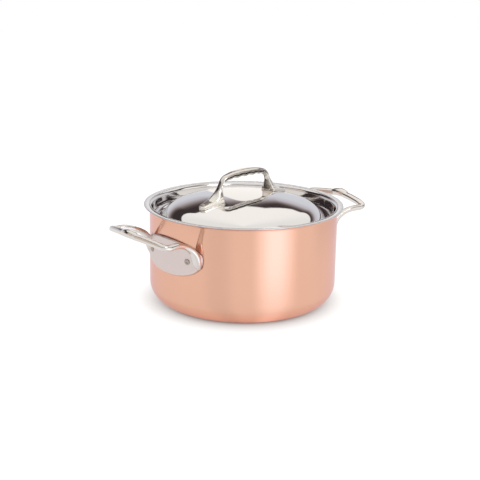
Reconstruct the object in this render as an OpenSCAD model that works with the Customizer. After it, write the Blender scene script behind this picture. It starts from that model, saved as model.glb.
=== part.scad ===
// Two-handled copper stewpot with a stainless lining, two cast side handles
// and a domed steel lid that nests in the turned-out rim.
// Origin: centre of the base. +Z up, side handles along X.

/* [Pot] */
// Outside diameter of the copper wall
pot_d = 204; // [188:1:224]
// Height of the pot to the top of its rim
pot_h = 107; // [90:0.5:140]
// Outer radius of the bottom corner
corner_r = 22; // [8:0.5:28]
// Thickness of the copper
copper_t = 1.2; // [0.8:0.1:2]
// Thickness of the steel lining
lining_t = 0.8; // [0.4:0.1:1.2]

/* [Rim] */
// Radius at which the lining turns outwards
flare_r = 4; // [3.6:0.1:5.5]
// How far the rim stands out past the copper wall
rim_out = 6; // [4.4:0.1:8]
// Upward slope of the rim, degrees
rim_slope = 7; // [0:1:15]
// How far the copper stops short of the lining's edge
rim_step = 1.8; // [0.6:0.1:2.6]

/* [Lid] */
// Thickness of the lid sheet
lid_t = 0.8; // [0.6:0.1:1.2]
// Height of the dome's top above the rim
lid_rise = 11.7; // [7:0.1:16]
// Radius of the dome
dome_r = 235; // [222:1:300]
// Radius of the dome's shoulder
shoulder_r = 32; // [26:1:40]
// Depth of the gutter's floor below the rim
gutter_depth = 16.9; // [14:0.1:22]
// Radius of the gutter's floor
gutter_r = 5; // [3.5:0.1:6]
// Gap between the lid and the lining that it nests in
seat_gap = 0.3; // [0.2:0.05:0.6]
// Turn of the lid's lip round the rim's bend, degrees
lip_turn = 50; // [30:1:70]

/* [Side handles] */
// Width of the plate
plate_w = 91; // [82:1:100]
// Height of the plate above its widest line
plate_up = 15.5; // [13:0.5:20]
// Height of the plate below its widest line
plate_down = 22.5; // [16:0.5:30]
// Thickness of the plate
plate_t = 3; // [2.4:0.1:3.6]
// Distance from the rim down to the plate's widest line
plate_drop = 36.4; // [33:0.1:44]
// Distance between the roots of the loop's arms
root_w = 80; // [74:1:82]
// How far the loop reaches out from the wall
loop_reach = 49; // [42:0.5:60]
// Width of the loop over its corners
loop_w = 91; // [88:1:104]
// Height of the loop's middle above the plate's widest line
loop_rise = 27.5; // [24:0.5:32]

/* [Lid handle] */
// Thickness of the feet
foot_t = 3.6; // [2:0.1:4]
// Distance between the tips of the feet
foot_span = 131; // [118:1:136]
// Width of a foot at its inner end
foot_w = 19; // [16:0.5:22]
// Width of a foot at its toe
toe_w = 9.5; // [8:0.5:11]
// Height of the grip above the dome
grip_rise = 27; // [24:0.5:34]
// Width of the grip
grip_w = 13; // [9:0.5:16]
// Depth of the finger waves under the grip
wave_h = 1.1; // [0:0.1:1.4]
// Length of one finger wave
wave_l = 11.6; // [9:0.1:14]
// Turn of the lid and its handle from the line of the side handles
lid_turn = 5.4; // [-20:0.1:20]

/* [Rivets] */
// Diameter of the side handles' rivets
rivet_d = 6.4; // [5:0.1:7.4]
// Diameter of their heads inside the pot
rivet_head_d = 11; // [8:0.5:13]
// Distance between the two rivets of a handle
rivet_gap = 58; // [48:1:68]
// Height of the rivets below the plate's widest line
rivet_drop = 4.2; // [0:0.1:8]
// Diameter of the lid handle's rivets
lid_rivet_d = 3.6; // [3:0.1:4.2]
// Diameter of their heads
lid_rivet_head_d = 5.6; // [5:0.1:6.4]
// Distance from a foot's tip to its rivet
toe_rivet = 5.4; // [4.4:0.1:7]

/* [Hidden] */

copper = [0.85, 0.52, 0.38];
steel = [0.80, 0.80, 0.82];
cast_steel = [0.86, 0.84, 0.80];
arc_steps = 12;
round_fn = 96;
bore_gap = 0.05;   // radial gap round a rivet
mount_gap = 0.1;   // gap behind the side handles' plates
foot_gap = 0.15;   // gap under the lid handle's feet
dimple_r = 1.8;    // dimple in the outer end of a side rivet
rivet_proud = 0.6; // how far a side rivet stands out of its plate
head_h = 1.8;      // height of a head inside the pot
lid_head_h = 1.4;  // height of a lid rivet's heads

wall_t = copper_t + lining_t;
pot_r = pot_d / 2;
inner_r = pot_r - wall_t;
rim_r = pot_r + rim_out;

// The rim: a bend about [flare_x, flare_z], then a straight slope out to rim_r.
flare_x = inner_r + flare_r;
bend_end_x = flare_x - flare_r * sin(rim_slope);
flare_z = pot_h - (rim_r - bend_end_x) * tan(rim_slope) - flare_r * cos(rim_slope);

// The lid's dome, shoulder and gutter are arcs that run into each other.
apex_z = pot_h + lid_rise;
lid_in_r = inner_r - seat_gap - lid_t;
dome_z = apex_z - dome_r;
gutter_x = lid_in_r - gutter_r;
gutter_z = pot_h - gutter_depth + gutter_r;
// The shoulder's centre lies dome_r - shoulder_r from the dome's centre
// and shoulder_r + gutter_r from the gutter's.
span = norm([gutter_x, gutter_z - dome_z]);
far_leg = dome_r - shoulder_r;
near_leg = shoulder_r + gutter_r;
along = (far_leg * far_leg - near_leg * near_leg + span * span) / (2 * span);
across = sqrt(far_leg * far_leg - along * along);
span_dir = [gutter_x, gutter_z - dome_z] / span;
shoulder_x = along * span_dir[0] - across * span_dir[1];
shoulder_z = dome_z + along * span_dir[1] + across * span_dir[0];
dome_end = asin(shoulder_x / far_leg);
shoulder_end = asin((gutter_x - shoulder_x) / near_leg);

plate_z = pot_h - plate_drop;
toe_x = foot_span / 2;
heel_x = toe_x - 28.2;
lid_rivet_x = toe_x - toe_rivet;
lid_rivet_tilt = asin(lid_rivet_x / dome_r);

// ---- helpers ----

// Points on an arc: angles are measured from +Z towards +X.
function arc(cx, cz, r, from, to, steps = arc_steps) =
    [for (i = [0:steps]) let (a = from + (to - from) * i / steps)
        [cx + r * sin(a), cz + r * cos(a)]];

function reversed(list) = [for (i = [len(list) - 1:-1:0]) list[i]];

// Catmull-Rom curve through the rows of a table, steps between rows.
function blend(p, q, r, s, t) =
    0.5 * (2 * q + (r - p) * t + (2 * p - 5 * q + 4 * r - s) * t * t
        + (3 * q - p - 3 * r + s) * t * t * t);
function smooth(rows, steps) = concat(
    [for (i = [0:len(rows) - 2])
        let (p = rows[max(i - 1, 0)], s = rows[min(i + 2, len(rows) - 1)])
        for (k = [0:steps - 1]) blend(p, rows[i], rows[i + 1], s, k / steps)],
    [rows[len(rows) - 1]]);

function unit(v) = v / norm(v);
function signed_pow(v, e) = sign(v) * pow(abs(v), e);

// A skin over rings of equal length, closed at both ends.
// Seen from the first ring towards the last, each ring runs anticlockwise.
module skin(rings) {
    n = len(rings[0]);
    last = len(rings) - 1;
    polyhedron(
        points = [for (ring = rings) for (p = ring) p],
        faces = concat(
            [[for (k = [n - 1:-1:0]) k]],
            [for (i = [0:last - 1]) for (k = [0:n - 1])
                let (m = (k + 1) % n) [(i + 1) * n + m, (i + 1) * n + k, i * n + k]],
            [for (i = [0:last - 1]) for (k = [0:n - 1])
                let (m = (k + 1) % n) [i * n + m, (i + 1) * n + m, i * n + k]],
            [[for (k = [0:n - 1]) last * n + k]]));
}

// ---- pot ----

// Line through the pot's sheet, depth below its inner face, out to radius end_r.
function pot_line(depth, end_r) = concat(
    [[0, wall_t - depth]],
    arc(inner_r - corner_r + wall_t, corner_r, corner_r - wall_t + depth, 180, 90),
    arc(flare_x, flare_z, flare_r - depth, -90, -rim_slope),
    [[end_r, pot_h - depth / cos(rim_slope) - (rim_r - end_r) * tan(rim_slope)]]);

module pot_sheet(from, to, end_r) {
    rotate_extrude($fn = round_fn)
        polygon(concat(pot_line(from, end_r), reversed(pot_line(to, end_r))));
}

// Rivet holes through the wall, radially, two for each handle.
module wall_bores() {
    for (side = [0, 180]) for (end = [-1, 1])
        rotate([0, 0, side + end * rivet_turn()])
            translate([inner_r - 2, 0, plate_z - rivet_drop])
                rotate([0, 90, 0])
                    cylinder(r = rivet_d / 2 + bore_gap, h = wall_t + plate_t + 4, $fn = 32);
}

function rivet_turn() = asin(rivet_gap / 2 / pot_r);

module copper_body() {
    color(copper) difference() {
        pot_sheet(lining_t, wall_t, rim_r - rim_step);
        wall_bores();
    }
}

module steel_lining() {
    color(steel) difference() {
        pot_sheet(0, lining_t, rim_r);
        wall_bores();
    }
}

// ---- side handles ----

// Outline of the plate: a flat-bottomed oval, deeper below its widest line.
function plate_outline(steps = 24) = [
    for (i = [0:2 * steps - 1])
        let (a = 180 * i / steps, lower = a > 180)
        let (n = lower ? 2.5 : 2.05, h = lower ? plate_down : plate_up)
        [plate_w / 2 * signed_pow(cos(a), 2 / n), h * signed_pow(sin(a), 2 / n)]];

module plate() {
    intersection() {
        translate([0, 0, plate_z]) rotate([90, 0, 90])
            linear_extrude(height = pot_r + 20) polygon(plate_outline());
        difference() {
            cylinder(r = pot_r + mount_gap + plate_t, h = pot_h, $fn = round_fn);
            translate([0, 0, -1])
                cylinder(r = pot_r + mount_gap, h = pot_h + 2, $fn = round_fn);
        }
    }
}

// Half of the loop, from inside the plate's end to the middle of the grip.
// Each row: x, y and height above the plate's widest line, width and height
// of the section, and the direction that its height follows.
root_x = sqrt(pot_r * pot_r - root_w * root_w / 4);
root_y = root_w / 2;
tip_x = pot_r + loop_reach;
loop_y = loop_w / 2;
thumb_y = 7;       // half length of the raised rest in the middle
half_loop = [
    [root_x + 1.9, root_y + 2.4, -11, 5, 1.4, -0.92, -0.4, 0],
    [root_x + 3.2, root_y + 1.6, -4.5, 9, 5.6, -0.92, -0.4, 0],
    [root_x + 5, root_y + 0.8, 3.6, 9.8, 7, -0.9, -0.3, 0.25],
    [root_x + 8.6, root_y, 9.6, 8.8, 6.8, -0.7, -0.1, 0.7],
    [root_x + 14.5, root_y + 0.4, 14, 7.6, 6.2, -0.45, 0, 0.9],
    [root_x + 22, loop_y - 3.9, 17.6, 7, 5.8, -0.3, 0, 0.95],
    [root_x + 31, loop_y - 1.7, loop_rise - 7.6, 7.2, 6.1, -0.3, 0, 0.95],
    [tip_x - 15.5, loop_y, loop_rise - 7.3, 7.6, 6, -0.3, 0, 0.95],
    [tip_x - 10.2, loop_y - 1.8, loop_rise - 6.2, 7.9, 6.2, -0.3, 0, 0.95],
    [tip_x - 7.4, 0.81 * loop_y, loop_rise - 4.6, 7.6, 6.7, -0.3, 0, 0.95],
    [tip_x - 4.2, 0.48 * loop_y, loop_rise - 2.8, 7.7, 7, -0.3, 0, 0.95],
    [tip_x - 2, thumb_y + 3.2, loop_rise - 1.9, 8, 7.2, -0.25, 0, 0.97],
    [tip_x - 1.2, thumb_y, loop_rise - 1, 9.4, 8, -0.25, 0, 0.97],
    [tip_x - 0.8, 0, loop_rise - 0.4, 10.4, 8.8, -0.25, 0, 0.97]
];

function mirrored_row(row) =
    [row[0], -row[1], row[2], row[3], row[4], row[5], -row[6], row[7]];

function loop_rings(points = 16, steps = 3) =
    let (rows = smooth(concat(half_loop,
        [for (i = [len(half_loop) - 2:-1:0]) mirrored_row(half_loop[i])]), steps))
    let (last = len(rows) - 1)
    [for (i = [0:last])
        let (row = rows[i], ahead = rows[min(i + 1, last)], behind = rows[max(i - 1, 0)])
        let (c = [row[0], row[1], row[2] + plate_z])
        let (t = unit([for (j = [0:2]) ahead[j] - behind[j]]))
        let (up_hint = [row[5], row[6], row[7]])
        let (up = unit(up_hint - (up_hint * t) * t), side = cross(t, up))
        [for (k = [0:points - 1]) let (a = 360 * k / points)
            c + side * row[3] / 2 * signed_pow(cos(a), 0.8)
              + up * row[4] / 2 * signed_pow(sin(a), 0.8)]];

module side_handle() {
    difference() {
        union() {
            plate();
            skin(loop_rings());
        }
        wall_bores();
    }
}

module side_handle_left() { color(cast_steel) rotate([0, 0, 180]) side_handle(); }

module side_handle_right() { color(cast_steel) side_handle(); }

// A rivet lies along X: head inside the pot, shank, dimpled end outside.
module side_rivet() {
    shank_r = rivet_d / 2;
    head_r = rivet_head_d / 2;
    head_x = inner_r - head_r * head_r / (2 * inner_r) - 0.05;
    end_x = pot_r + mount_gap + plate_t + rivet_proud;
    dome = (head_r * head_r + head_h * head_h) / (2 * head_h);
    rotate([0, 90, 0]) rotate_extrude($fn = 48)
        polygon(concat(
            arc(0, head_x - head_h + dome, dome, 180, 180 - asin(head_r / dome), 8),
            [[shank_r, head_x], [shank_r, end_x - 0.4], [shank_r - 0.5, end_x],
             [dimple_r, end_x], [0, end_x - 0.5]]));
}

module placed_side_rivet(side, end) {
    color(cast_steel) rotate([0, 0, side + end * rivet_turn()])
        translate([0, 0, plate_z - rivet_drop]) side_rivet();
}

module rivet_left_front() { placed_side_rivet(180, 1); }

module rivet_left_rear() { placed_side_rivet(180, -1); }

module rivet_right_front() { placed_side_rivet(0, -1); }

module rivet_right_rear() { placed_side_rivet(0, 1); }

// ---- lid ----

// Line through the dome at a depth below its upper face, out to the shoulder's end.
function dome_line(depth) = concat(
    arc(0, dome_z, dome_r - depth, 0, dome_end),
    arc(shoulder_x, shoulder_z, shoulder_r - depth, dome_end, shoulder_end));

function lid_line(depth) = concat(
    dome_line(depth),
    arc(gutter_x, gutter_z, gutter_r + depth, 180 + shoulder_end, 90, 16),
    arc(flare_x, flare_z, flare_r + seat_gap + lid_t - depth, -90, lip_turn - 90));

// Holes for the lid handle's rivets, square to the dome.
module lid_bores() {
    for (side = [-1, 1])
        translate([0, 0, dome_z]) rotate([0, side * lid_rivet_tilt, lid_turn])
            translate([0, 0, dome_r - lid_t - 3])
                cylinder(r = lid_rivet_d / 2 + bore_gap, h = lid_t + foot_t + 6, $fn = 32);
}

module lid_dome() {
    color(steel) difference() {
        rotate_extrude($fn = round_fn)
            polygon(concat(lid_line(0), reversed(lid_line(lid_t))));
        lid_bores();
    }
}

// Half of the arch, from inside a foot to the middle of the grip.
// Each row: outer x and z, inner x and z, width, and how far the section has turned
// from a leg's flat bar into the round, undercut grip.
grip_half = 22;
leg_lean = 0.16; // how much narrower a leg is outside and wider inside
half_arch = [
    [heel_x + 17, -4.4, heel_x - 0.2, -2.6, foot_w - 6.4, 0],
    [heel_x + 13, -1.6, heel_x - 0.4, 0.4, foot_w - 5.2, 0],
    [heel_x + 9.9, 0.9, heel_x - 0.5, 2.2, foot_w - 5.2, 0],
    [heel_x + 7.2, 3.8, heel_x - 0.9, 4.4, 11.6, 0],
    [heel_x + 4.6, 7.2, heel_x - 1.5, 7.2, 8.8, 0],
    [heel_x + 2.5, 10.4, heel_x - 2.3, 10.2, 7.4, 0.2],
    [heel_x + 0.6, grip_rise - 13, heel_x - 4, grip_rise - 14, 7.2, 0.5],
    [heel_x - 2, grip_rise - 8.6, heel_x - 7, grip_rise - 11.8, 7.8, 0.8],
    [heel_x - 6.6, grip_rise - 4.6, heel_x - 10.8, grip_rise - 9.7, grip_w - 4, 1],
    [grip_half - 0.5, grip_rise - 2, grip_half - 1.5, grip_rise - 8.5, grip_w - 2.2, 1],
    [grip_half / 2, grip_rise - 0.5, grip_half / 2, grip_rise - 8, grip_w - 0.6, 1],
    [0, grip_rise, 0, grip_rise - 7.9, grip_w, 1]
];

// Depth of the finger waves at x: they fade out where the grip bends down.
function wave(x) = let (fade = min(1, max(0, (grip_half + 4 - abs(x)) / 5)))
    wave_h * fade * (0.5 + 0.5 * cos(360 * x / wave_l));

function arch_ring(row, points) =
    let (o = [row[0], row[1]], i = [row[2], row[3] - wave(row[2]) * row[5]])
    let (c = (o + i) / 2, h = (o - i) / 2, w = row[4] / 2)
    [for (k = [0:points - 1])
        let (a = 360 * k / points + 90, e = 0.55 + 0.3 * row[5])
        let (up = signed_pow(sin(a), e))
        let (inset = up < 0.3 ? 0.36 * row[5] : 0, lean = leg_lean * (1 - row[5]) * up)
        let (y = w * signed_pow(cos(a), e) * (1 - inset - lean))
        [c[0] + h[0] * up, y, apex_z + c[1] + h[1] * up]];

// The legs are skinned in two steps a row and the waved grip in eight.
leg_rows = 8;
function rows_between(from, to) = [for (i = [from:to]) half_arch[i]];
function arch_rows() = let (last = len(half_arch) - 1, legs = smooth(rows_between(0, leg_rows), 2))
    concat([for (i = [0:len(legs) - 2]) legs[i]], smooth(rows_between(leg_rows, last), 8));

module arch() {
    half = [for (row = arch_rows()) arch_ring(row, 20)];
    other = [for (i = [len(half) - 2:-1:0]) [for (p = half[i]) [-p[0], p[1], p[2]]]];
    skin(concat(half, other));
}

// Foot in plan: wide at the heel, with a round toe.
module foot_plan() {
    hull() {
        for (y = [-1, 1]) translate([heel_x + 2, y * (foot_w / 2 - 2)]) circle(r = 2, $fn = 32);
        translate([toe_x - toe_w / 2, 0]) circle(d = toe_w, $fn = 48);
    }
}

module feet() {
    intersection() {
        for (turn = [0, 180]) rotate([0, 0, turn])
            translate([0, 0, apex_z - 40]) linear_extrude(height = 60) foot_plan();
        rotate_extrude($fn = round_fn)
            polygon(concat(dome_line(-foot_gap - foot_t), reversed(dome_line(-foot_gap))));
    }
}

module lid_handle() {
    color(cast_steel) difference() {
        rotate([0, 0, lid_turn]) {
            feet();
            arch();
        }
        rotate_extrude($fn = round_fn)
            polygon(concat(dome_line(-foot_gap), [[0, apex_z - 60]]));
        lid_bores();
    }
}

// A lid rivet stands along Z: low heads above the foot and below the sheet.
module lid_rivet(side) {
    shank_r = lid_rivet_d / 2;
    head_r = lid_rivet_head_d / 2;
    dome = (head_r * head_r + lid_head_h * lid_head_h) / (2 * lid_head_h);
    turn = asin(head_r / dome);
    top = dome_r + foot_gap + foot_t + 0.05;
    bottom = dome_r - lid_t - 0.05;
    color(cast_steel) translate([0, 0, dome_z]) rotate([0, side * lid_rivet_tilt, lid_turn])
        rotate_extrude($fn = 48)
            polygon(concat(
                arc(0, top + lid_head_h - dome, dome, 0, turn, 6),
                [[shank_r, top], [shank_r, bottom]],
                arc(0, bottom - lid_head_h + dome, dome, 180 - turn, 180, 6)));
}

module lid_rivet_left() { lid_rivet(-1); }

module lid_rivet_right() { lid_rivet(1); }

copper_body();
steel_lining();
side_handle_left();
side_handle_right();
rivet_left_front();
rivet_left_rear();
rivet_right_front();
rivet_right_rear();
lid_dome();
lid_handle();
lid_rivet_left();
lid_rivet_right();
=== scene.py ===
"""Looks of the two-handled copper stewpot: copper, brushed lining, polished lid, cast handles.

All sizes are millimetres until a mesh is made, and they are the CAD source's own values.
"""

import math

import bmesh
import bpy
from mathutils import Matrix, Vector


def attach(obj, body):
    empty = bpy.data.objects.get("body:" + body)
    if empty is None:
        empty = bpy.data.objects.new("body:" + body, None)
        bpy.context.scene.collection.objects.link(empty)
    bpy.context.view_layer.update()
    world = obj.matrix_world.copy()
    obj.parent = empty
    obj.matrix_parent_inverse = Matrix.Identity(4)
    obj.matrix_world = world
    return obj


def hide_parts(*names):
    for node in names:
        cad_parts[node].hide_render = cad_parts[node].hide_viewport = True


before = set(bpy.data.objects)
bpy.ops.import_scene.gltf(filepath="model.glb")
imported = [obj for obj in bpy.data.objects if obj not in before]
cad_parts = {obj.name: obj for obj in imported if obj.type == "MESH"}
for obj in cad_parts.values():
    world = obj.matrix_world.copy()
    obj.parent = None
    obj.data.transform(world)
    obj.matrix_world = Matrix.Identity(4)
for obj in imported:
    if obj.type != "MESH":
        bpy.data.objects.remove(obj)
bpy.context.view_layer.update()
MM = 0.001

# ---- sizes, as in the CAD source ----
POT_R, POT_H, CORNER_R = 102.0, 107.0, 22.0
COPPER_T, LINING_T = 1.2, 0.8
WALL_T = COPPER_T + LINING_T
INNER_R = POT_R - WALL_T
FLARE_R, RIM_OUT, RIM_SLOPE, RIM_STEP = 4.0, 6.0, 7.0, 1.8
RIM_R = POT_R + RIM_OUT
LID_T, LID_RISE, DOME_R, SHOULDER_R = 0.8, 11.7, 235.0, 32.0
GUTTER_DEPTH, GUTTER_R, SEAT_GAP, LIP_TURN = 16.9, 5.0, 0.3, 50.0
PLATE_W, PLATE_UP, PLATE_DOWN, PLATE_T, PLATE_DROP = 91.0, 15.5, 22.5, 3.0, 36.4
ROOT_W, LOOP_REACH, LOOP_W, LOOP_RISE, THUMB_Y = 80.0, 49.0, 91.0, 27.5, 7.0
FOOT_T, FOOT_SPAN, FOOT_W, TOE_W = 3.6, 131.0, 19.0, 9.5
GRIP_RISE, GRIP_W, GRIP_HALF, WAVE_H, WAVE_L = 27.0, 13.0, 22.0, 1.1, 11.6
LID_TURN, LEG_LEAN, FOOT_L = math.radians(5.4), 0.16, 28.2
RIVET_D, RIVET_HEAD_D, RIVET_GAP, RIVET_DROP = 6.4, 11.0, 58.0, 4.2
LID_RIVET_D, LID_RIVET_HEAD_D, TOE_RIVET = 3.6, 5.6, 5.4
MOUNT_GAP, FOOT_GAP, HEAD_GAP = 0.1, 0.15, 0.05
RIVET_PROUD, HEAD_H, LID_HEAD_H = 0.6, 1.8, 1.4

FLARE_X = INNER_R + FLARE_R
SLOPE = math.radians(RIM_SLOPE)
BEND_END_X = FLARE_X - FLARE_R * math.sin(SLOPE)
FLARE_Z = POT_H - (RIM_R - BEND_END_X) * math.tan(SLOPE) - FLARE_R * math.cos(SLOPE)
APEX_Z = POT_H + LID_RISE
DOME_Z = APEX_Z - DOME_R
GUTTER_X = INNER_R - SEAT_GAP - LID_T - GUTTER_R
GUTTER_Z = POT_H - GUTTER_DEPTH + GUTTER_R
PLATE_Z = POT_H - PLATE_DROP
TOE_X = FOOT_SPAN / 2
HEEL_X = TOE_X - FOOT_L
LID_RIVET_X = TOE_X - TOE_RIVET

SEGMENTS, RIVET_SEGMENTS = 256, 48
ON_AXIS = 1e-6     # a radius below this is a point on the axis


# ---- curves ----
def arc(cx, cz, r, start, end, steps):
    """Points on an arc; angles in degrees from +Z towards +X."""
    angles = [math.radians(start + (end - start) * i / steps) for i in range(steps + 1)]
    return [(cx + r * math.sin(a), cz + r * math.cos(a)) for a in angles]


def blend_rows(p, q, r, s, t):
    """A Catmull-Rom step between the rows q and r of a table."""
    return [
        0.5 * (2 * b + (c - a) * t + (2 * a - 5 * b + 4 * c - d) * t**2
               + (3 * b - a - 3 * c + d) * t**3)
        for a, b, c, d in zip(p, q, r, s)
    ]


def smooth_rows(rows, steps):
    last = len(rows) - 1
    out = []
    for i in range(last):
        before, after = rows[max(i - 1, 0)], rows[min(i + 2, last)]
        out += [blend_rows(before, rows[i], rows[i + 1], after, k / steps) for k in range(steps)]
    return out + [rows[last]]


def power(value, exponent):
    return math.copysign(abs(value) ** exponent, value)


# ---- meshes ----
def new_object(name, verts, faces):
    mesh = bpy.data.meshes.new(name)
    mesh.from_pydata([Vector(v) * MM for v in verts], [], faces)
    bm = bmesh.new()
    bm.from_mesh(mesh)
    bmesh.ops.recalc_face_normals(bm, faces=bm.faces)
    bm.to_mesh(mesh)
    bm.free()
    piece = bpy.data.objects.new(name, mesh)
    bpy.context.scene.collection.objects.link(piece)
    return piece


def shade(piece, sharp_angle=40):
    piece.data.polygons.foreach_set("use_smooth", [True] * len(piece.data.polygons))
    piece.data.set_sharp_from_angle(angle=math.radians(sharp_angle))


def lathe_data(section, segments=SEGMENTS):
    """A closed section of (radius, z) points turned about Z, as vertices and faces."""
    verts, rows, faces = [], [], []
    for r, z in section:
        if r < ON_AXIS:
            rows.append([len(verts)] * segments)
            verts.append((0, 0, z))
            continue
        rows.append(list(range(len(verts), len(verts) + segments)))
        for k in range(segments):
            a = 2 * math.pi * k / segments
            verts.append((r * math.cos(a), r * math.sin(a), z))
    for i, row in enumerate(rows):
        other = rows[(i + 1) % len(rows)]
        for k in range(segments):
            m = (k + 1) % segments
            corners = [row[k], row[m], other[m], other[k]]
            corners = [c for n, c in enumerate(corners) if c not in corners[:n]]
            if len(corners) > 2:
                faces.append(corners)
    return verts, faces


def lathe(name, section):
    piece = new_object(name, *lathe_data(section))
    shade(piece)
    return piece


def skin_data(rings):
    """A closed skin over rings of equal length."""
    n = len(rings[0])
    verts = [p for ring in rings for p in ring]
    faces = [[i * n + k, i * n + (k + 1) % n, (i + 1) * n + (k + 1) % n, (i + 1) * n + k]
             for i in range(len(rings) - 1) for k in range(n)]
    return verts, faces + [list(range(n)), list(range(len(verts) - n, len(verts)))]


def joined(*parts):
    verts, faces = [], []
    for part_verts, part_faces in parts:
        shift = len(verts)
        verts += part_verts
        faces += [[k + shift for k in face] for face in part_faces]
    return verts, faces


def cast(name, data, voxel, passes):
    """One casting from overlapping closed forms: remeshed together, then its corners eased."""
    piece = new_object(name, *data)
    remesh = piece.modifiers.new("remesh", "REMESH")
    remesh.mode = "VOXEL"
    remesh.voxel_size = voxel * MM
    ease = piece.modifiers.new("ease", "SMOOTH")
    ease.factor = 0.5
    ease.iterations = passes
    graph = bpy.context.evaluated_depsgraph_get()
    mesh = bpy.data.meshes.new_from_object(piece.evaluated_get(graph))
    piece.modifiers.clear()
    piece.data = mesh
    shade(piece, 60)
    return piece


def placed(piece, body, slot, material, *nodes):
    piece.data.materials.clear()
    piece.data.materials.append(material)
    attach(piece, body)
    if nodes:
        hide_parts(*nodes)
    return piece


# ---- materials ----
class Graph:
    """Short ways to add the nodes of a material or a world."""

    def __init__(self, owner):
        owner.use_nodes = True
        self.nodes = owner.node_tree.nodes
        self.links = owner.node_tree.links

    def add(self, kind, settings=None, **inputs):
        node = self.nodes.new(kind)
        for key, value in (settings or {}).items():
            setattr(node, key, value)
        for key, value in inputs.items():
            socket = node.inputs[int(key[1:])] if key[0] == "i" and key[1:].isdigit() \
                else node.inputs[key.replace("_", " ")]
            if isinstance(value, bpy.types.NodeSocket):
                self.links.new(value, socket)
            else:
                socket.default_value = value
        return node

    def place(self):
        return self.add("ShaderNodeTexCoord").outputs["Object"]

    def radius(self):
        """Distance from the pot's axis, in metres."""
        flat = self.add("ShaderNodeVectorMath", {"operation": "MULTIPLY"},
                        i0=self.place(), i1=(1, 1, 0))
        return self.add("ShaderNodeVectorMath", {"operation": "LENGTH"},
                        i0=flat.outputs["Vector"]).outputs["Value"]

    def noise(self, scale):
        return self.add("ShaderNodeTexNoise", Vector=self.place(), Scale=scale,
                        Detail=3).outputs["Fac"]

    def lathe_marks(self, across, scale):
        """Fine rings about the pot's axis: across is the radius or the height."""
        joint = self.add("ShaderNodeCombineXYZ", X=across)
        return self.add("ShaderNodeTexNoise", Vector=joint.outputs["Vector"], Scale=scale,
                        Detail=3).outputs["Fac"]

    def span(self, value, low, high, start, end):
        return self.add("ShaderNodeMapRange", Value=value, From_Min=low, From_Max=high,
                        To_Min=start, To_Max=end).outputs["Result"]

    def soft(self, value, low, high):
        """0 at low to 1 at high, easing at both ends."""
        return self.add("ShaderNodeMapRange", {"interpolation_type": "SMOOTHSTEP"}, Value=value,
                        From_Min=low, From_Max=high, To_Min=0, To_Max=1).outputs["Result"]

    def cavity(self, distance, low, high):
        """1 in grooves and corners, where shade falls, to mask painted shade there; 0 in the
        open.
        """
        open_share = self.add("ShaderNodeAmbientOcclusion", {"samples": 8},
                              Distance=distance).outputs["AO"]
        return self.soft(open_share, high, low)

    def mix(self, factor, one, other):
        node = self.add("ShaderNodeMix", {"data_type": "RGBA"}, Factor=factor)
        for socket, colour in ((node.inputs[6], one), (node.inputs[7], other)):
            if isinstance(colour, bpy.types.NodeSocket):
                self.links.new(colour, socket)
            else:
                socket.default_value = (*colour, 1)
        return node.outputs[2]

    def height(self):
        return self.add("ShaderNodeSeparateXYZ", Vector=self.place()).outputs["Z"]

    def bump(self, value, distance, strength=1.0):
        node = self.add("ShaderNodeBump", Height=value, Distance=distance, Strength=strength)
        self.links.new(node.outputs["Normal"], self.shader.inputs["Normal"])

    def drive(self, name, value):
        self.links.new(value, self.shader.inputs[name])

    def math(self, operation, one, other=0.0):
        return self.add("ShaderNodeMath", {"operation": operation}, i0=one, i1=other).outputs[0]

    def product(self, one, *others):
        for other in others:
            one = self.math("MULTIPLY", one, other)
        return one

    def camera_axes(self, vector):
        """X to the right and Y away, as the camera looks, and Z up."""
        turned = self.add("ShaderNodeVectorRotate", {"rotation_type": "Z_AXIS"}, Vector=vector,
                          Angle=AZIMUTH)
        return self.add("ShaderNodeSeparateXYZ", Vector=turned.outputs["Vector"]).outputs

    def bearing(self, right, away):
        """Degrees from straight away, growing to the right."""
        return self.math("DEGREES", self.math("ARCTAN2", right, away))

    def beam(self, turn, middle, half, core):
        """1 within core degrees of the bearing middle, easing to 0 at half."""
        return self.soft(self.math("ABSOLUTE", self.math("SUBTRACT", turn, middle)), half, core)

    def ramp(self, value, stops):
        """Colours by value: stops are (position, (r, g, b))."""
        node = self.add("ShaderNodeValToRGB", Fac=value)
        points = node.color_ramp.elements
        while len(points) < len(stops):
            points.new(0.5)
        for point, (position, colour) in zip(points, stops):
            point.position, point.color = position, (*colour, 1)
        return node.outputs["Color"]


class Finish(Graph):
    """A material with one Principled shader."""

    def __init__(self, name, **shader):
        self.material = bpy.data.materials.new(name)
        super().__init__(self.material)
        self.shader = self.nodes["Principled BSDF"]
        for key, value in shader.items():
            self.shader.inputs[key.replace("_", " ")].default_value = value


def around_axis(graph):
    """Turned work: highlights stretch across the marks that run round the pot's axis."""
    tangent = graph.add("ShaderNodeTangent", {"direction_type": "RADIAL", "axis": "Z"})
    graph.links.new(tangent.outputs["Tangent"], graph.shader.inputs["Tangent"])
    graph.shader.inputs["Anisotropic Rotation"].default_value = 0.25


def copper_material():
    """Polished, with painted shade where the plates and the rim meet it."""
    g = Finish("polished_copper", Metallic=1.0, Anisotropic=0.95,
               Specular_Tint=(0.92, 0.84, 0.92, 1))
    around_axis(g)
    cloud = g.noise(18)
    marks = g.lathe_marks(g.height(), 900)
    above_base = g.soft(g.height(), 0.012, 0.03)
    # Dark brown along the plates' edges and under the rim: painted shade.
    painted_edge_shade = g.product(g.cavity(0.0045, 0.4, 0.8), above_base)
    clean = g.mix(cloud, (0.85, 0.485, 0.35), (0.875, 0.515, 0.38))
    g.drive("Base Color", g.mix(painted_edge_shade, clean, (0.28, 0.11, 0.07)))
    g.drive("Roughness", g.span(marks, 0.3, 0.7, 0.13, 0.17))
    g.bump(marks, 0.00002, 0.04)
    return g.material


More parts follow.
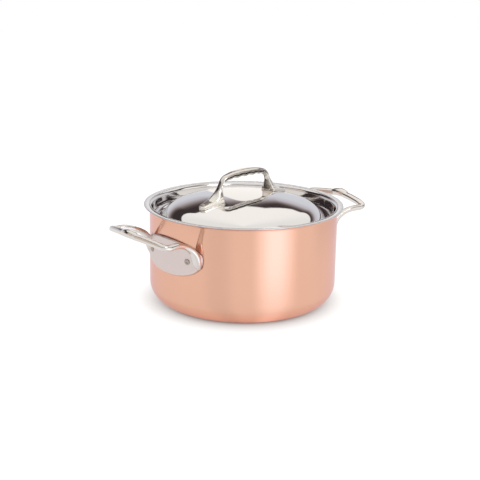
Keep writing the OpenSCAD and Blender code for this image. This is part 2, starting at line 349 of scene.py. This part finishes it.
def lining_material():
    g = Finish("brushed_lining", Metallic=1.0, Anisotropic=0.5)
    around_axis(g)
    marks = g.lathe_marks(g.radius(), 2500)
    g.drive("Base Color", g.mix(marks, (0.67, 0.67, 0.70), (0.74, 0.74, 0.765)))
    g.drive("Roughness", g.span(marks, 0.3, 0.7, 0.22, 0.30))
    g.bump(marks, 0.00002, 0.2)
    return g.material


def lid_material():
    g = Finish("polished_lid", Metallic=1.0, Anisotropic=0.3)
    around_axis(g)
    marks = g.lathe_marks(g.radius(), 1800)
    g.drive("Base Color", g.mix(marks, (0.80, 0.785, 0.78), (0.85, 0.84, 0.835)))
    g.drive("Roughness", g.span(marks, 0.3, 0.7, 0.035, 0.06))
    g.bump(marks, 0.00001, 0.15)
    return g.material


def side_handle_material():
    """Satin on the plate's face, polished on the loop."""
    g = Finish("cast_side_handle", Metallic=1.0)
    grain = g.noise(900)
    away = g.span(g.radius(), (POT_R + 4.2) * MM, (POT_R + 6.5) * MM, 0, 1)
    satin = g.span(grain, 0.3, 0.7, 0.36, 0.44)
    polish = g.span(grain, 0.3, 0.7, 0.10, 0.14)
    rough = g.add("ShaderNodeMix", {"data_type": "FLOAT"}, i0=away, i2=satin, i3=polish)
    g.drive("Roughness", rough.outputs[0])
    plate = g.mix(grain, (0.72, 0.63, 0.61), (0.85, 0.76, 0.74))
    g.drive("Base Color", g.mix(away, plate, (0.79, 0.755, 0.725)))
    g.bump(grain, 0.00004, 0.35)
    return g.material


def lid_handle_material():
    """Polished grip with painted shade in its undercut; softer legs and feet, in a lighter cream
    that is painted reflection.
    """
    g = Finish("cast_lid_handle", Metallic=1.0)
    grain = g.noise(700)
    high = g.soft(g.height(), (APEX_Z + 7) * MM, (APEX_Z + 11) * MM)
    # Near black in the undercut under the crown: painted shade.
    painted_undercut_shade = g.product(g.cavity(0.004, 0.52, 0.74), high)
    grip_steel = g.mix(grain, (0.72, 0.685, 0.645), (0.79, 0.76, 0.72))
    # Legs and feet in a lighter cream than the grip: painted reflection.
    steel_and_painted_cream = g.mix(high, (0.86, 0.83, 0.77), grip_steel)
    g.drive("Base Color", g.mix(painted_undercut_shade, steel_and_painted_cream, (0.055, 0.045, 0.04)))
    g.drive("Roughness", g.span(high, 0, 1, 0.19, 0.115))
    g.bump(grain, 0.00002, 0.15)
    return g.material


def rivet_material():
    g = Finish("rivet_steel", Metallic=1.0)
    grain = g.noise(1200)
    worn = g.mix(grain, (0.38, 0.33, 0.30), (0.50, 0.45, 0.41))
    # Dark in the dimple and in the corners round the rivet: painted shade.
    g.drive("Base Color", g.mix(g.cavity(0.002, 0.4, 0.8), worn, (0.13, 0.09, 0.07)))
    g.drive("Roughness", g.span(grain, 0.3, 0.7, 0.26, 0.36))
    g.bump(grain, 0.00003, 0.3)
    return g.material


COPPER = copper_material()
LINING = lining_material()
LID = lid_material()
SIDE_HANDLE = side_handle_material()
LID_HANDLE = lid_handle_material()
RIVET = rivet_material()


# ---- pot ----
def pot_line(depth, end_r):
    """The line through the pot's sheet, depth below its inner face, from the axis to end_r."""
    floor_r = INNER_R - CORNER_R + WALL_T
    flat = [(floor_r * k / 12, WALL_T - depth) for k in range(12)]
    rise = [(INNER_R + depth, CORNER_R + (FLARE_Z - CORNER_R) * k / 16) for k in range(1, 16)]
    slope_drop = depth / math.cos(SLOPE) + (RIM_R - end_r) * math.tan(SLOPE)
    return (
        flat
        + arc(floor_r, CORNER_R, CORNER_R - WALL_T + depth, 180, 90, 24)
        + rise
        + arc(FLARE_X, FLARE_Z, FLARE_R - depth, -90, -RIM_SLOPE, 12)
        + [(end_r, POT_H - slope_drop)]
    )


def sheet_section(upper, lower, ease):
    """Two lines of one sheet joined by a rounded edge at their outer ends."""
    (ax, az), (bx, bz) = upper[-1], lower[-1]
    mid, half = ((ax + bx) / 2, (az + bz) / 2), math.hypot(ax - bx, az - bz) / 2
    start = math.atan2(az - mid[1], ax - mid[0])
    edge = [(mid[0] - ease + half * math.cos(start - math.pi * k / 8),
             mid[1] + half * math.sin(start - math.pi * k / 8)) for k in range(9)]
    return upper[:-1] + edge + lower[-2::-1]


inside = pot_line(0, RIM_R)
between = pot_line(LINING_T, RIM_R)
lining = lathe("lining", sheet_section(inside, between, LINING_T / 2))
placed(lining, "pot", "brushed_lining", LINING, "steel_lining")

copper_end = RIM_R - RIM_STEP
shell = lathe("copper_shell",
              sheet_section(pot_line(LINING_T, copper_end), pot_line(WALL_T, copper_end),
                            COPPER_T / 2))
placed(shell, "pot", "copper", COPPER, "copper_body")


# ---- lid ----
def lid_curves():
    """The shoulder's centre, and the angles at which the dome and the shoulder end."""
    span = math.hypot(GUTTER_X, GUTTER_Z - DOME_Z)
    far, near = DOME_R - SHOULDER_R, SHOULDER_R + GUTTER_R
    along = (far**2 - near**2 + span**2) / (2 * span)
    across = math.sqrt(far**2 - along**2)
    ux, uz = GUTTER_X / span, (GUTTER_Z - DOME_Z) / span
    sx, sz = along * ux - across * uz, DOME_Z + along * uz + across * ux
    dome_end, shoulder_end = math.asin(sx / far), math.asin((GUTTER_X - sx) / near)
    return sx, sz, math.degrees(dome_end), math.degrees(shoulder_end)


SHOULDER_X, SHOULDER_Z, DOME_END, SHOULDER_END = lid_curves()


def lid_line(depth):
    """The line through the lid's sheet, depth below its upper face, from the axis to its lip."""
    return (
        arc(0, DOME_Z, DOME_R - depth, 0, DOME_END, 40)
        + arc(SHOULDER_X, SHOULDER_Z, SHOULDER_R - depth, DOME_END, SHOULDER_END, 28)[1:]
        + arc(GUTTER_X, GUTTER_Z, GUTTER_R + depth, 180 + SHOULDER_END, 90, 28)[1:]
        + arc(FLARE_X, FLARE_Z, FLARE_R + SEAT_GAP + LID_T - depth, -90, LIP_TURN - 90, 16)
    )


lid = lathe("lid_sheet", sheet_section(lid_line(0), lid_line(LID_T), 0))
placed(lid, "lid", "polished_lid", LID, "lid_dome")


# ---- side handles ----
# Powers of the plate's outline: 2 is an ellipse, and more is squarer.
UPPER_POWER, LOWER_POWER = 2.05, 2.5
CAST_CORNER = 0.8      # power of the loop's section; 1 is an ellipse


def plate_rings(points=96):
    """The plate from its back face round its eased edge to the middle of its front."""
    def ring(grow, depth):
        out = []
        for i in range(points):
            a = 2 * math.pi * i / points
            lower = math.sin(a) < 0
            n, reach = (LOWER_POWER, PLATE_DOWN) if lower else (UPPER_POWER, PLATE_UP)
            y = (PLATE_W / 2 + grow) * power(math.cos(a), 2 / n)
            z = (reach + grow) * power(math.sin(a), 2 / n)
            r = POT_R + MOUNT_GAP + depth
            out.append((math.sqrt(r * r - y * y), y, PLATE_Z + z))
        return out

    def inner(depth):
        return [[(math.sqrt(max((POT_R + MOUNT_GAP + depth) ** 2 - (y * f) ** 2, 0)), y * f,
                  PLATE_Z + (z - PLATE_Z) * f) for _, y, z in ring(-1, depth)]
                for f in (0.85, 0.7, 0.55, 0.4, 0.25, 0.1)]

    edge = [ring(0, 0), ring(0, PLATE_T - 0.9), ring(-0.25, PLATE_T - 0.35), ring(-1, PLATE_T)]
    return inner(0)[::-1] + edge + inner(PLATE_T)


def half_loop():
    """Rows of x, y, height above PLATE_Z, section width and height, and its up direction."""
    root_x, root_y = math.sqrt(POT_R**2 - ROOT_W**2 / 4), ROOT_W / 2
    tip_x, loop_y = POT_R + LOOP_REACH, LOOP_W / 2
    return [
        [root_x + 1.9, root_y + 2.4, -11, 5, 1.4, -0.92, -0.4, 0],
        [root_x + 3.2, root_y + 1.6, -4.5, 9, 5.6, -0.92, -0.4, 0],
        [root_x + 5, root_y + 0.8, 3.6, 9.8, 7, -0.9, -0.3, 0.25],
        [root_x + 8.6, root_y, 9.6, 8.8, 6.8, -0.7, -0.1, 0.7],
        [root_x + 14.5, root_y + 0.4, 14, 7.6, 6.2, -0.45, 0, 0.9],
        [root_x + 22, loop_y - 3.9, 17.6, 7, 5.8, -0.3, 0, 0.95],
        [root_x + 31, loop_y - 1.7, LOOP_RISE - 7.6, 7.2, 6.1, -0.3, 0, 0.95],
        [tip_x - 15.5, loop_y, LOOP_RISE - 7.3, 7.6, 6, -0.3, 0, 0.95],
        [tip_x - 10.2, loop_y - 1.8, LOOP_RISE - 6.2, 7.9, 6.2, -0.3, 0, 0.95],
        [tip_x - 7.4, 0.81 * loop_y, LOOP_RISE - 4.6, 7.6, 6.7, -0.3, 0, 0.95],
        [tip_x - 4.2, 0.48 * loop_y, LOOP_RISE - 2.8, 7.7, 7, -0.3, 0, 0.95],
        [tip_x - 2, THUMB_Y + 3.2, LOOP_RISE - 1.9, 8, 7.2, -0.25, 0, 0.97],
        [tip_x - 1.2, THUMB_Y, LOOP_RISE - 1, 9.4, 8, -0.25, 0, 0.97],
        [tip_x - 0.8, 0, LOOP_RISE - 0.4, 10.4, 8.8, -0.25, 0, 0.97],
    ]


def loop_rings(points=32, steps=8):
    half = half_loop()
    other = [[r[0], -r[1], *r[2:6], -r[6], r[7]] for r in half[-2::-1]]
    rows = smooth_rows(half + other, steps)
    rings, last = [], len(rows) - 1
    for i, row in enumerate(rows):
        centre = Vector((row[0], row[1], row[2] + PLATE_Z))
        ahead, behind = rows[min(i + 1, last)], rows[max(i - 1, 0)]
        t = (Vector(ahead[:3]) - Vector(behind[:3])).normalized()
        hint = Vector(row[5:8])
        up = (hint - hint.dot(t) * t).normalized()
        side = t.cross(up)
        rings.append([
            centre + side * row[3] / 2 * power(math.cos(a), CAST_CORNER)
            + up * row[4] / 2 * power(math.sin(a), CAST_CORNER)
            for a in (2 * math.pi * k / points for k in range(points))
        ])
    return rings


right = cast("handle_right", joined(skin_data(plate_rings()), skin_data(loop_rings())),
             voxel=0.5, passes=10)
left = bpy.data.objects.new("handle_left", right.data.copy())
bpy.context.scene.collection.objects.link(left)
left.data.transform(Matrix.Rotation(math.pi, 4, "Z"))
placed(right, "pot", "cast_steel", SIDE_HANDLE, "side_handle_right")
placed(left, "pot", "cast_steel", SIDE_HANDLE, "side_handle_left")


def side_rivet_section():
    """Radius and place along the shank, from the head inside the pot to the dimpled end."""
    shank_r, head_r = RIVET_D / 2, RIVET_HEAD_D / 2
    head_x = INNER_R - head_r**2 / (2 * INNER_R) - HEAD_GAP
    end_x = POT_R + MOUNT_GAP + PLATE_T + RIVET_PROUD
    dome = (head_r**2 + HEAD_H**2) / (2 * HEAD_H)
    turn = 180 - math.degrees(math.asin(head_r / dome))
    ease, dimple_r, dimple_up = 0.5, 2.3, 1.6
    return (
        arc(0, head_x - HEAD_H + dome, dome, 180, turn, 12)
        + [(shank_r, head_x), (shank_r, end_x - 2)]
        + arc(shank_r - ease, end_x - ease, ease, 90, 0, 6)
        + arc(0, end_x + dimple_up, dimple_r, 135, 180, 10)
    )


def side_rivets():
    turn = math.degrees(math.asin(RIVET_GAP / 2 / POT_R))
    places = {"rivet_left_front": 180 + turn, "rivet_left_rear": 180 - turn,
              "rivet_right_front": -turn, "rivet_right_rear": turn}
    data = lathe_data(side_rivet_section(), RIVET_SEGMENTS)
    for node, angle in places.items():
        piece = new_object("dressed_" + node, *data)
        lay = Matrix.Rotation(math.radians(90), 4, "Y")
        lift = Matrix.Translation((0, 0, (PLATE_Z - RIVET_DROP) * MM))
        piece.data.transform(lift @ Matrix.Rotation(math.radians(angle), 4, "Z") @ lay)
        shade(piece)
        placed(piece, "pot", "rivet_steel", RIVET, node)


side_rivets()


# ---- lid handle ----
def wave(x):
    """Depth of the finger waves under the grip, which fade out at its ends."""
    fade = min(1, max(0, (GRIP_HALF + 4 - abs(x)) / 5))
    return WAVE_H * fade * (0.5 + 0.5 * math.cos(2 * math.pi * x / WAVE_L))


def half_arch():
    """Rows of outer x and z, inner x and z, width, and how far the grip is undercut."""
    return [
        [HEEL_X + 17, -4.4, HEEL_X - 0.2, -2.6, FOOT_W - 6.4, 0],
        [HEEL_X + 13, -1.6, HEEL_X - 0.4, 0.4, FOOT_W - 5.2, 0],
        [HEEL_X + 9.9, 0.9, HEEL_X - 0.5, 2.2, FOOT_W - 5.2, 0],
        [HEEL_X + 7.2, 3.8, HEEL_X - 0.9, 4.4, 11.6, 0],
        [HEEL_X + 4.6, 7.2, HEEL_X - 1.5, 7.2, 8.8, 0],
        [HEEL_X + 2.5, 10.4, HEEL_X - 2.3, 10.2, 7.4, 0.2],
        [HEEL_X + 0.6, GRIP_RISE - 13, HEEL_X - 4, GRIP_RISE - 14, 7.2, 0.5],
        [HEEL_X - 2, GRIP_RISE - 8.6, HEEL_X - 7, GRIP_RISE - 11.8, 7.8, 0.8],
        [HEEL_X - 6.6, GRIP_RISE - 4.6, HEEL_X - 10.8, GRIP_RISE - 9.7, GRIP_W - 4, 1],
        [GRIP_HALF - 0.5, GRIP_RISE - 2, GRIP_HALF - 1.5, GRIP_RISE - 8.5, GRIP_W - 2.2, 1],
        [GRIP_HALF / 2, GRIP_RISE - 0.5, GRIP_HALF / 2, GRIP_RISE - 8, GRIP_W - 0.6, 1],
        [0, GRIP_RISE, 0, GRIP_RISE - 7.9, GRIP_W, 1],
    ]


def arch_outline(grip, points=40):
    """The section from -1 to 1 both ways: a flat bar in the legs, a crown in the grip."""
    e = 0.5 + 0.32 * grip
    return [(power(math.cos(a), e), power(math.sin(a), e))
            for a in (2 * math.pi * k / points + math.pi / 2 for k in range(points))]


def undercut(up, grip):
    """Share of the width taken away under the grip's crown, and less at its lower ridge."""
    if up >= 0.35:
        return 0
    return (0.66 if up > -0.3 else 0.34) * grip


def arch_rings():
    rings = []
    for top_x, top_z, low_x, low_z, width, grip in smooth_rows(half_arch(), 8):
        top = Vector((top_x, top_z))
        low = Vector((low_x, low_z - wave(low_x) * grip))
        middle, reach = (top + low) / 2, (top - low) / 2
        ring = []
        for across, up in arch_outline(grip):
            pinch = undercut(up, grip) + LEG_LEAN * (1 - grip) * up
            place = middle + reach * up
            ring.append((place.x, width / 2 * across * (1 - pinch), APEX_Z + place.y))
        rings.append(ring)
    return rings + [[(-x, y, z) for x, y, z in ring] for ring in rings[-2::-1]]


def foot_outline():
    """Half outline of a foot in plan from the heel's corner round the toe, mirrored."""
    corner, r = 2.0, TOE_W / 2
    corner_x, corner_y, toe_x = HEEL_X + corner, FOOT_W / 2 - corner, TOE_X - r
    heel = [(corner_x - corner * math.cos(a), corner_y + corner * math.sin(a))
            for a in (math.pi / 2 * k / 8 for k in range(9))]
    lean = math.atan2(FOOT_W / 2 - r, toe_x - corner_x)
    toe = [(toe_x + r * math.sin(a), r * math.cos(a))
           for a in (lean + (math.pi / 2 - lean) * k / 12 for k in range(13))]
    top = heel + toe
    return top + [(px, -py) for px, py in top[-2::-1]]


def foot_rings():
    """A foot from its underside, which follows the dome, round its eased edge to its top."""
    outline = foot_outline()
    middle_x = HEEL_X + 10

    def ring(shrink, depth):
        out = []
        for x, y in outline:
            x, y = middle_x + (x - middle_x) * shrink, y * shrink
            r = DOME_R + FOOT_GAP + depth
            out.append((x, y, DOME_Z + math.sqrt(r * r - x * x - y * y)))
        return out

    back = [ring(f, 0) for f in (0.1, 0.4, 0.7, 1)]
    front = [ring(1, FOOT_T - 1.1), ring(0.99, FOOT_T - 0.5), ring(0.97, FOOT_T - 0.15),
             ring(0.93, FOOT_T)]
    return back + front + [ring(f, FOOT_T) for f in (0.7, 0.4, 0.1)]


def turned(data):
    """The same form on the other side of the axis."""
    verts, faces = data
    return [(-x, -y, z) for x, y, z in verts], faces


feet = skin_data(foot_rings())
grip = cast("lid_grip", joined(skin_data(arch_rings()), feet, turned(feet)),
            voxel=0.3, passes=14)
grip.data.transform(Matrix.Rotation(LID_TURN, 4, "Z"))
placed(grip, "lid", "cast_steel", LID_HANDLE, "lid_handle")


def lid_rivets():
    head_r = LID_RIVET_HEAD_D / 2
    dome = (head_r**2 + LID_HEAD_H**2) / (2 * LID_HEAD_H)
    turn = math.degrees(math.asin(head_r / dome))
    top = DOME_R + FOOT_GAP + FOOT_T + HEAD_GAP
    bottom = DOME_R - LID_T - HEAD_GAP
    shank_r = LID_RIVET_D / 2
    section = (
        arc(0, top + LID_HEAD_H - dome, dome, 0, turn, 10)
        + [(shank_r, top), (shank_r, bottom)]
        + arc(0, bottom - LID_HEAD_H + dome, dome, 180 - turn, 180, 10)
    )
    tilt = math.asin(LID_RIVET_X / DOME_R)
    for node, side in (("lid_rivet_left", -1), ("lid_rivet_right", 1)):
        piece = new_object("dressed_" + node, *lathe_data(section, RIVET_SEGMENTS))
        piece.data.transform(
            Matrix.Translation((0, 0, DOME_Z * MM)) @ Matrix.Rotation(LID_TURN, 4, "Z")
            @ Matrix.Rotation(side * tilt, 4, "Y"))
        shade(piece)
        placed(piece, "lid", "rivet_steel", RIVET, node)


lid_rivets()


# ---- camera ----
AZIMUTH, ELEVATION, ROLL = math.radians(40.8), math.radians(16.107), math.radians(0.977)
FOCAL, SENSOR = 78.402225, 36
DISTANCE, AIM = 1.150, Vector((0, 0, 0.055))
SHIFT_RIGHT, SHIFT_UP = -0.003183, 0.009645


def make_camera():
    forward = Vector((math.sin(AZIMUTH) * math.cos(ELEVATION),
                      math.cos(AZIMUTH) * math.cos(ELEVATION), -math.sin(ELEVATION)))
    level = Vector((math.cos(AZIMUTH), -math.sin(AZIMUTH), 0))
    above = level.cross(forward)
    right = level * math.cos(ROLL) + above * math.sin(ROLL)
    up = above * math.cos(ROLL) - level * math.sin(ROLL)
    data = bpy.data.cameras.new("camera")
    data.lens, data.sensor_width = FOCAL, SENSOR
    camera = bpy.data.objects.new("camera", data)
    axes = Matrix((right, up, -forward)).transposed().to_4x4()
    place = AIM - forward * DISTANCE + right * SHIFT_RIGHT + up * SHIFT_UP
    camera.matrix_world = Matrix.Translation(place) @ axes
    bpy.context.scene.collection.objects.link(camera)
    bpy.context.scene.camera = camera


# ---- studio ----
# Bearings are in degrees: 0 is straight behind the pot as the camera sees it, and they grow to
# the right. Heights in the room are in degrees above the level.
LILAC, PALE, CREAM = (0.70, 0.71, 0.765), (0.80, 0.78, 0.77), (1.07, 1.03, 0.98)
TAN, SAND, UMBER = (0.72, 0.61, 0.53), (0.60, 0.46, 0.38), (0.42, 0.365, 0.32)
DUSK, BROWN, DARK = (0.385, 0.345, 0.35), (0.105, 0.078, 0.075), (0.045, 0.034, 0.036)
FLOOR_LEVEL, POOL_GAIN, FRONT_LEFT_PAINTED_SHADE, BACK_RIGHT_PAINTED_SHADE = 0.77, 0.82, 0.1, 0.14
POOL_CENTRE = (0.007, -0.065)      # right and away, in metres from the pot's axis


def floor_level(g):
    """How bright the floor is in the pot's metals, with a painted pool of light and painted
    shade, and the share that lies in the pool.
    """
    away = g.camera_axes(g.place())
    turn = g.bearing(g.math("SUBTRACT", away["X"], POOL_CENTRE[0]),
                     g.math("SUBTRACT", away["Y"], POOL_CENTRE[1]))
    # A painted pool of light before the pot, to its right.
    pool = g.product(g.beam(turn, 140, 33, 3), g.span(g.radius(), 0.12, 0.3, 0.35, 1))
    # Painted shade before the pot to its left, and far out behind it to the right.
    painted_shade_front_left = g.beam(turn, -147, 24, 4)
    far = g.product(g.soft(g.radius(), 0.26, 0.5), g.beam(turn, 55, 38, 20))
    lit = g.math("ADD", g.product(pool, POOL_GAIN), FLOOR_LEVEL)
    lost = g.math("ADD", g.product(painted_shade_front_left, FRONT_LEFT_PAINTED_SHADE), g.product(far, BACK_RIGHT_PAINTED_SHADE))
    return g.math("SUBTRACT", lit, lost), pool


def floor_material():
    """White where nothing shades it, with a painted contact shadow near the pot; a painted pool
    of light lies before the pot, to its right.
    """
    g = Finish("studio_floor", Base_Color=(0.3, 0.3, 0.3, 1), Roughness=0.9)
    g.shader.inputs["Specular IOR Level"].default_value = 0.1
    path = g.add("ShaderNodeLightPath").outputs
    # Ambient occlusion dims the floor's glow close to the pot: a painted contact shadow.
    open_share = g.add("ShaderNodeAmbientOcclusion", {"samples": 8}, Distance=0.022).outputs["AO"]
    free = g.math("POWER", open_share, 0.5)
    level, pool = floor_level(g)
    seen = g.math("MAXIMUM", path["Is Camera Ray"], g.product(path["Is Glossy Ray"], level))
    # In the copper, the floor close to it is mirrored without the painted shadow and tinted
    # orange as painted light from the copper itself; the pool is tinted blue.
    near = g.math("MAXIMUM", free, g.product(path["Is Glossy Ray"], 0.95))
    mirrored = g.mix(free, (1, 0.56, 0.36), g.mix(pool, (1, 1, 1), (0.9, 0.97, 1.15)))
    tint = g.mix(path["Is Glossy Ray"], (1, 1, 1), mirrored)
    glow = g.add("ShaderNodeEmission", Color=tint, Strength=g.product(seen, near, 0.88))
    total = g.add("ShaderNodeAddShader", i0=g.shader.outputs[0], i1=glow.outputs[0])
    g.links.new(total.outputs[0], g.nodes["Material Output"].inputs["Surface"])
    return g.material


def lay_floor():
    bpy.ops.mesh.primitive_plane_add(size=6)
    plane = bpy.context.object
    plane.name = "floor"
    plane.data.materials.append(floor_material())


def softbox(name, bearing, height, distance, side, radiance):
    """A square panel that faces the pot."""
    a, e = AZIMUTH + math.radians(bearing), math.radians(height)
    way = Vector((math.sin(a) * math.cos(e), math.cos(a) * math.cos(e), math.sin(e)))
    data = bpy.data.lights.new(name, "AREA")
    data.size = side
    data.energy = radiance * math.pi * side**2
    lamp = bpy.data.objects.new(name, data)
    turn = way.to_track_quat("Z", "Y").to_matrix().to_4x4()
    lamp.matrix_world = Matrix.Translation(AIM + way * distance) @ turn
    lamp.visible_camera = False
    bpy.context.scene.collection.objects.link(lamp)


def wall_height(g, turn, rise):
    """Height on the wall as a share of 90 degrees, shifted so that the dark above the pale wall
    starts higher in the middle and a little to its right."""
    middle = g.math("MINIMUM", g.span(turn, 9.5, 4, 0, 8), g.span(turn, -8, -4.5, 0, 8))
    right = g.product(g.span(turn, 0, 8, 0, 1), g.span(rise, 20, 27, 4.5, 0))
    height = g.math("ADD", rise, g.span(turn, -15, -40, 0, 5))
    height = g.math("SUBTRACT", height, g.math("MAXIMUM", middle, right))
    return g.math("DIVIDE", height, 90.0)


def bands(*parts):
    """Ramp stops for flat bands: each part is a colour, where it starts and where it ends."""
    return [(place, colour) for colour, start, end in parts for place in (start, end)]


def walls(g, turn, rise):
    """The wall round the pot: behind it, in the halls left and right, beside and before it."""
    height, aside = wall_height(g, turn, rise), g.math("ABSOLUTE", turn)
    on_right = g.math("GREATER_THAN", turn, 0.0)
    behind = g.ramp(height, [(0.0, LILAC), (0.115, LILAC), (0.185, (0.57, 0.55, 0.585)),
                             (0.225, DUSK), (0.255, (0.225, 0.19, 0.19)), (0.285, BROWN),
                             (0.32, DARK), (1.0, DARK)])
    right_hall = g.ramp(height, bands((PALE, 0, 0.06), (DARK, 0.11, 0.50), (UMBER, 0.56, 1)))
    left_hall = g.ramp(height, bands((SAND, 0, 0.09), (DARK, 0.14, 0.50), (PALE, 0.56, 1)))
    right_side = g.ramp(height, bands((CREAM, 0, 0.34), (DARK, 0.37, 0.44), (CREAM, 0.47, 1)))
    left_side = g.ramp(height, bands((TAN, 0, 0.36), (DARK, 0.39, 0.44), (PALE, 0.47, 1)))
    before = g.ramp(height, bands((PALE, 0, 0.22), (BROWN, 0.26, 0.31), (PALE, 0.35, 1)))
    room = g.mix(g.span(aside, 60, 68, 0, 1), behind, g.mix(on_right, left_hall, right_hall))
    room = g.mix(g.span(aside, 88, 94, 0, 1), room, g.mix(on_right, left_side, right_side))
    room = g.mix(g.span(aside, 118, 132, 0, 1), room, before)
    eave = g.product(g.span(rise, 38, 44, 0, 1), g.span(turn, 68, 76, 0, 1),
                     g.span(turn, 116, 104, 0, 1))
    return g.mix(eave, room, UMBER)


def with_ceiling(g, room, turn, rise):
    """The room under its wide cream ceiling, which reaches lower on the right."""
    edge = g.math("SUBTRACT", 36.0, g.span(turn, 7.5, 14, 0, 7))
    over = g.span(g.math("SUBTRACT", rise, edge), -0.6, 0.6, 0, 1)
    share = g.product(over, g.span(turn, 70, 80, 1, 0), g.span(turn, -95, -75, 0, 1))
    share = g.math("MAXIMUM", share, g.span(rise, 60, 64, 0, 1))
    side_share = g.span(g.math("ABSOLUTE", turn), 10, 50, 0, 1)
    return g.mix(share, room, g.mix(side_share, CREAM, (0.93, 0.91, 0.88)))


def with_panel(g, room, turn, rise):
    """The room with a cream oval panel straight behind the pot."""
    across = g.math("POWER", g.math("DIVIDE", g.math("SUBTRACT", turn, 0.1), 4.9), 2)
    upward = g.math("POWER", g.math("DIVIDE", g.math("SUBTRACT", rise, 10), 19.0), 2)
    return g.mix(g.soft(g.math("ADD", across, upward), 1.06, 0.94), room, CREAM)


def studio_world():
    """White to the camera. To all else: a low pale wall, a dark band, and a wide soft ceiling."""
    world = bpy.data.worlds.new("studio")
    bpy.context.scene.world = world
    g = Graph(world)
    axes = g.camera_axes(g.add("ShaderNodeTexCoord").outputs["Generated"])
    rise = g.math("DEGREES", g.math("ARCSINE", axes["Z"]))
    turn = g.bearing(axes["X"], axes["Y"])
    room = with_panel(g, with_ceiling(g, walls(g, turn, rise), turn, rise), turn, rise)
    mirrored = g.nodes["Background"]
    g.links.new(room, mirrored.inputs["Color"])
    mirrored.inputs["Strength"].default_value = 1.0
    white = g.add("ShaderNodeBackground", Color=(1, 1, 1, 1), Strength=1.0)
    path = g.add("ShaderNodeLightPath")
    both = g.add("ShaderNodeMixShader", i0=path.outputs["Is Camera Ray"],
                 i1=mirrored.outputs[0], i2=white.outputs[0])
    g.links.new(both.outputs[0], g.nodes["World Output"].inputs["Surface"])


make_camera()
lay_floor()
softbox("strip", bearing=141, height=40, distance=1.1, side=0.5, radiance=2.0)
studio_world()
bpy.context.scene.view_settings.view_transform = "Standard"
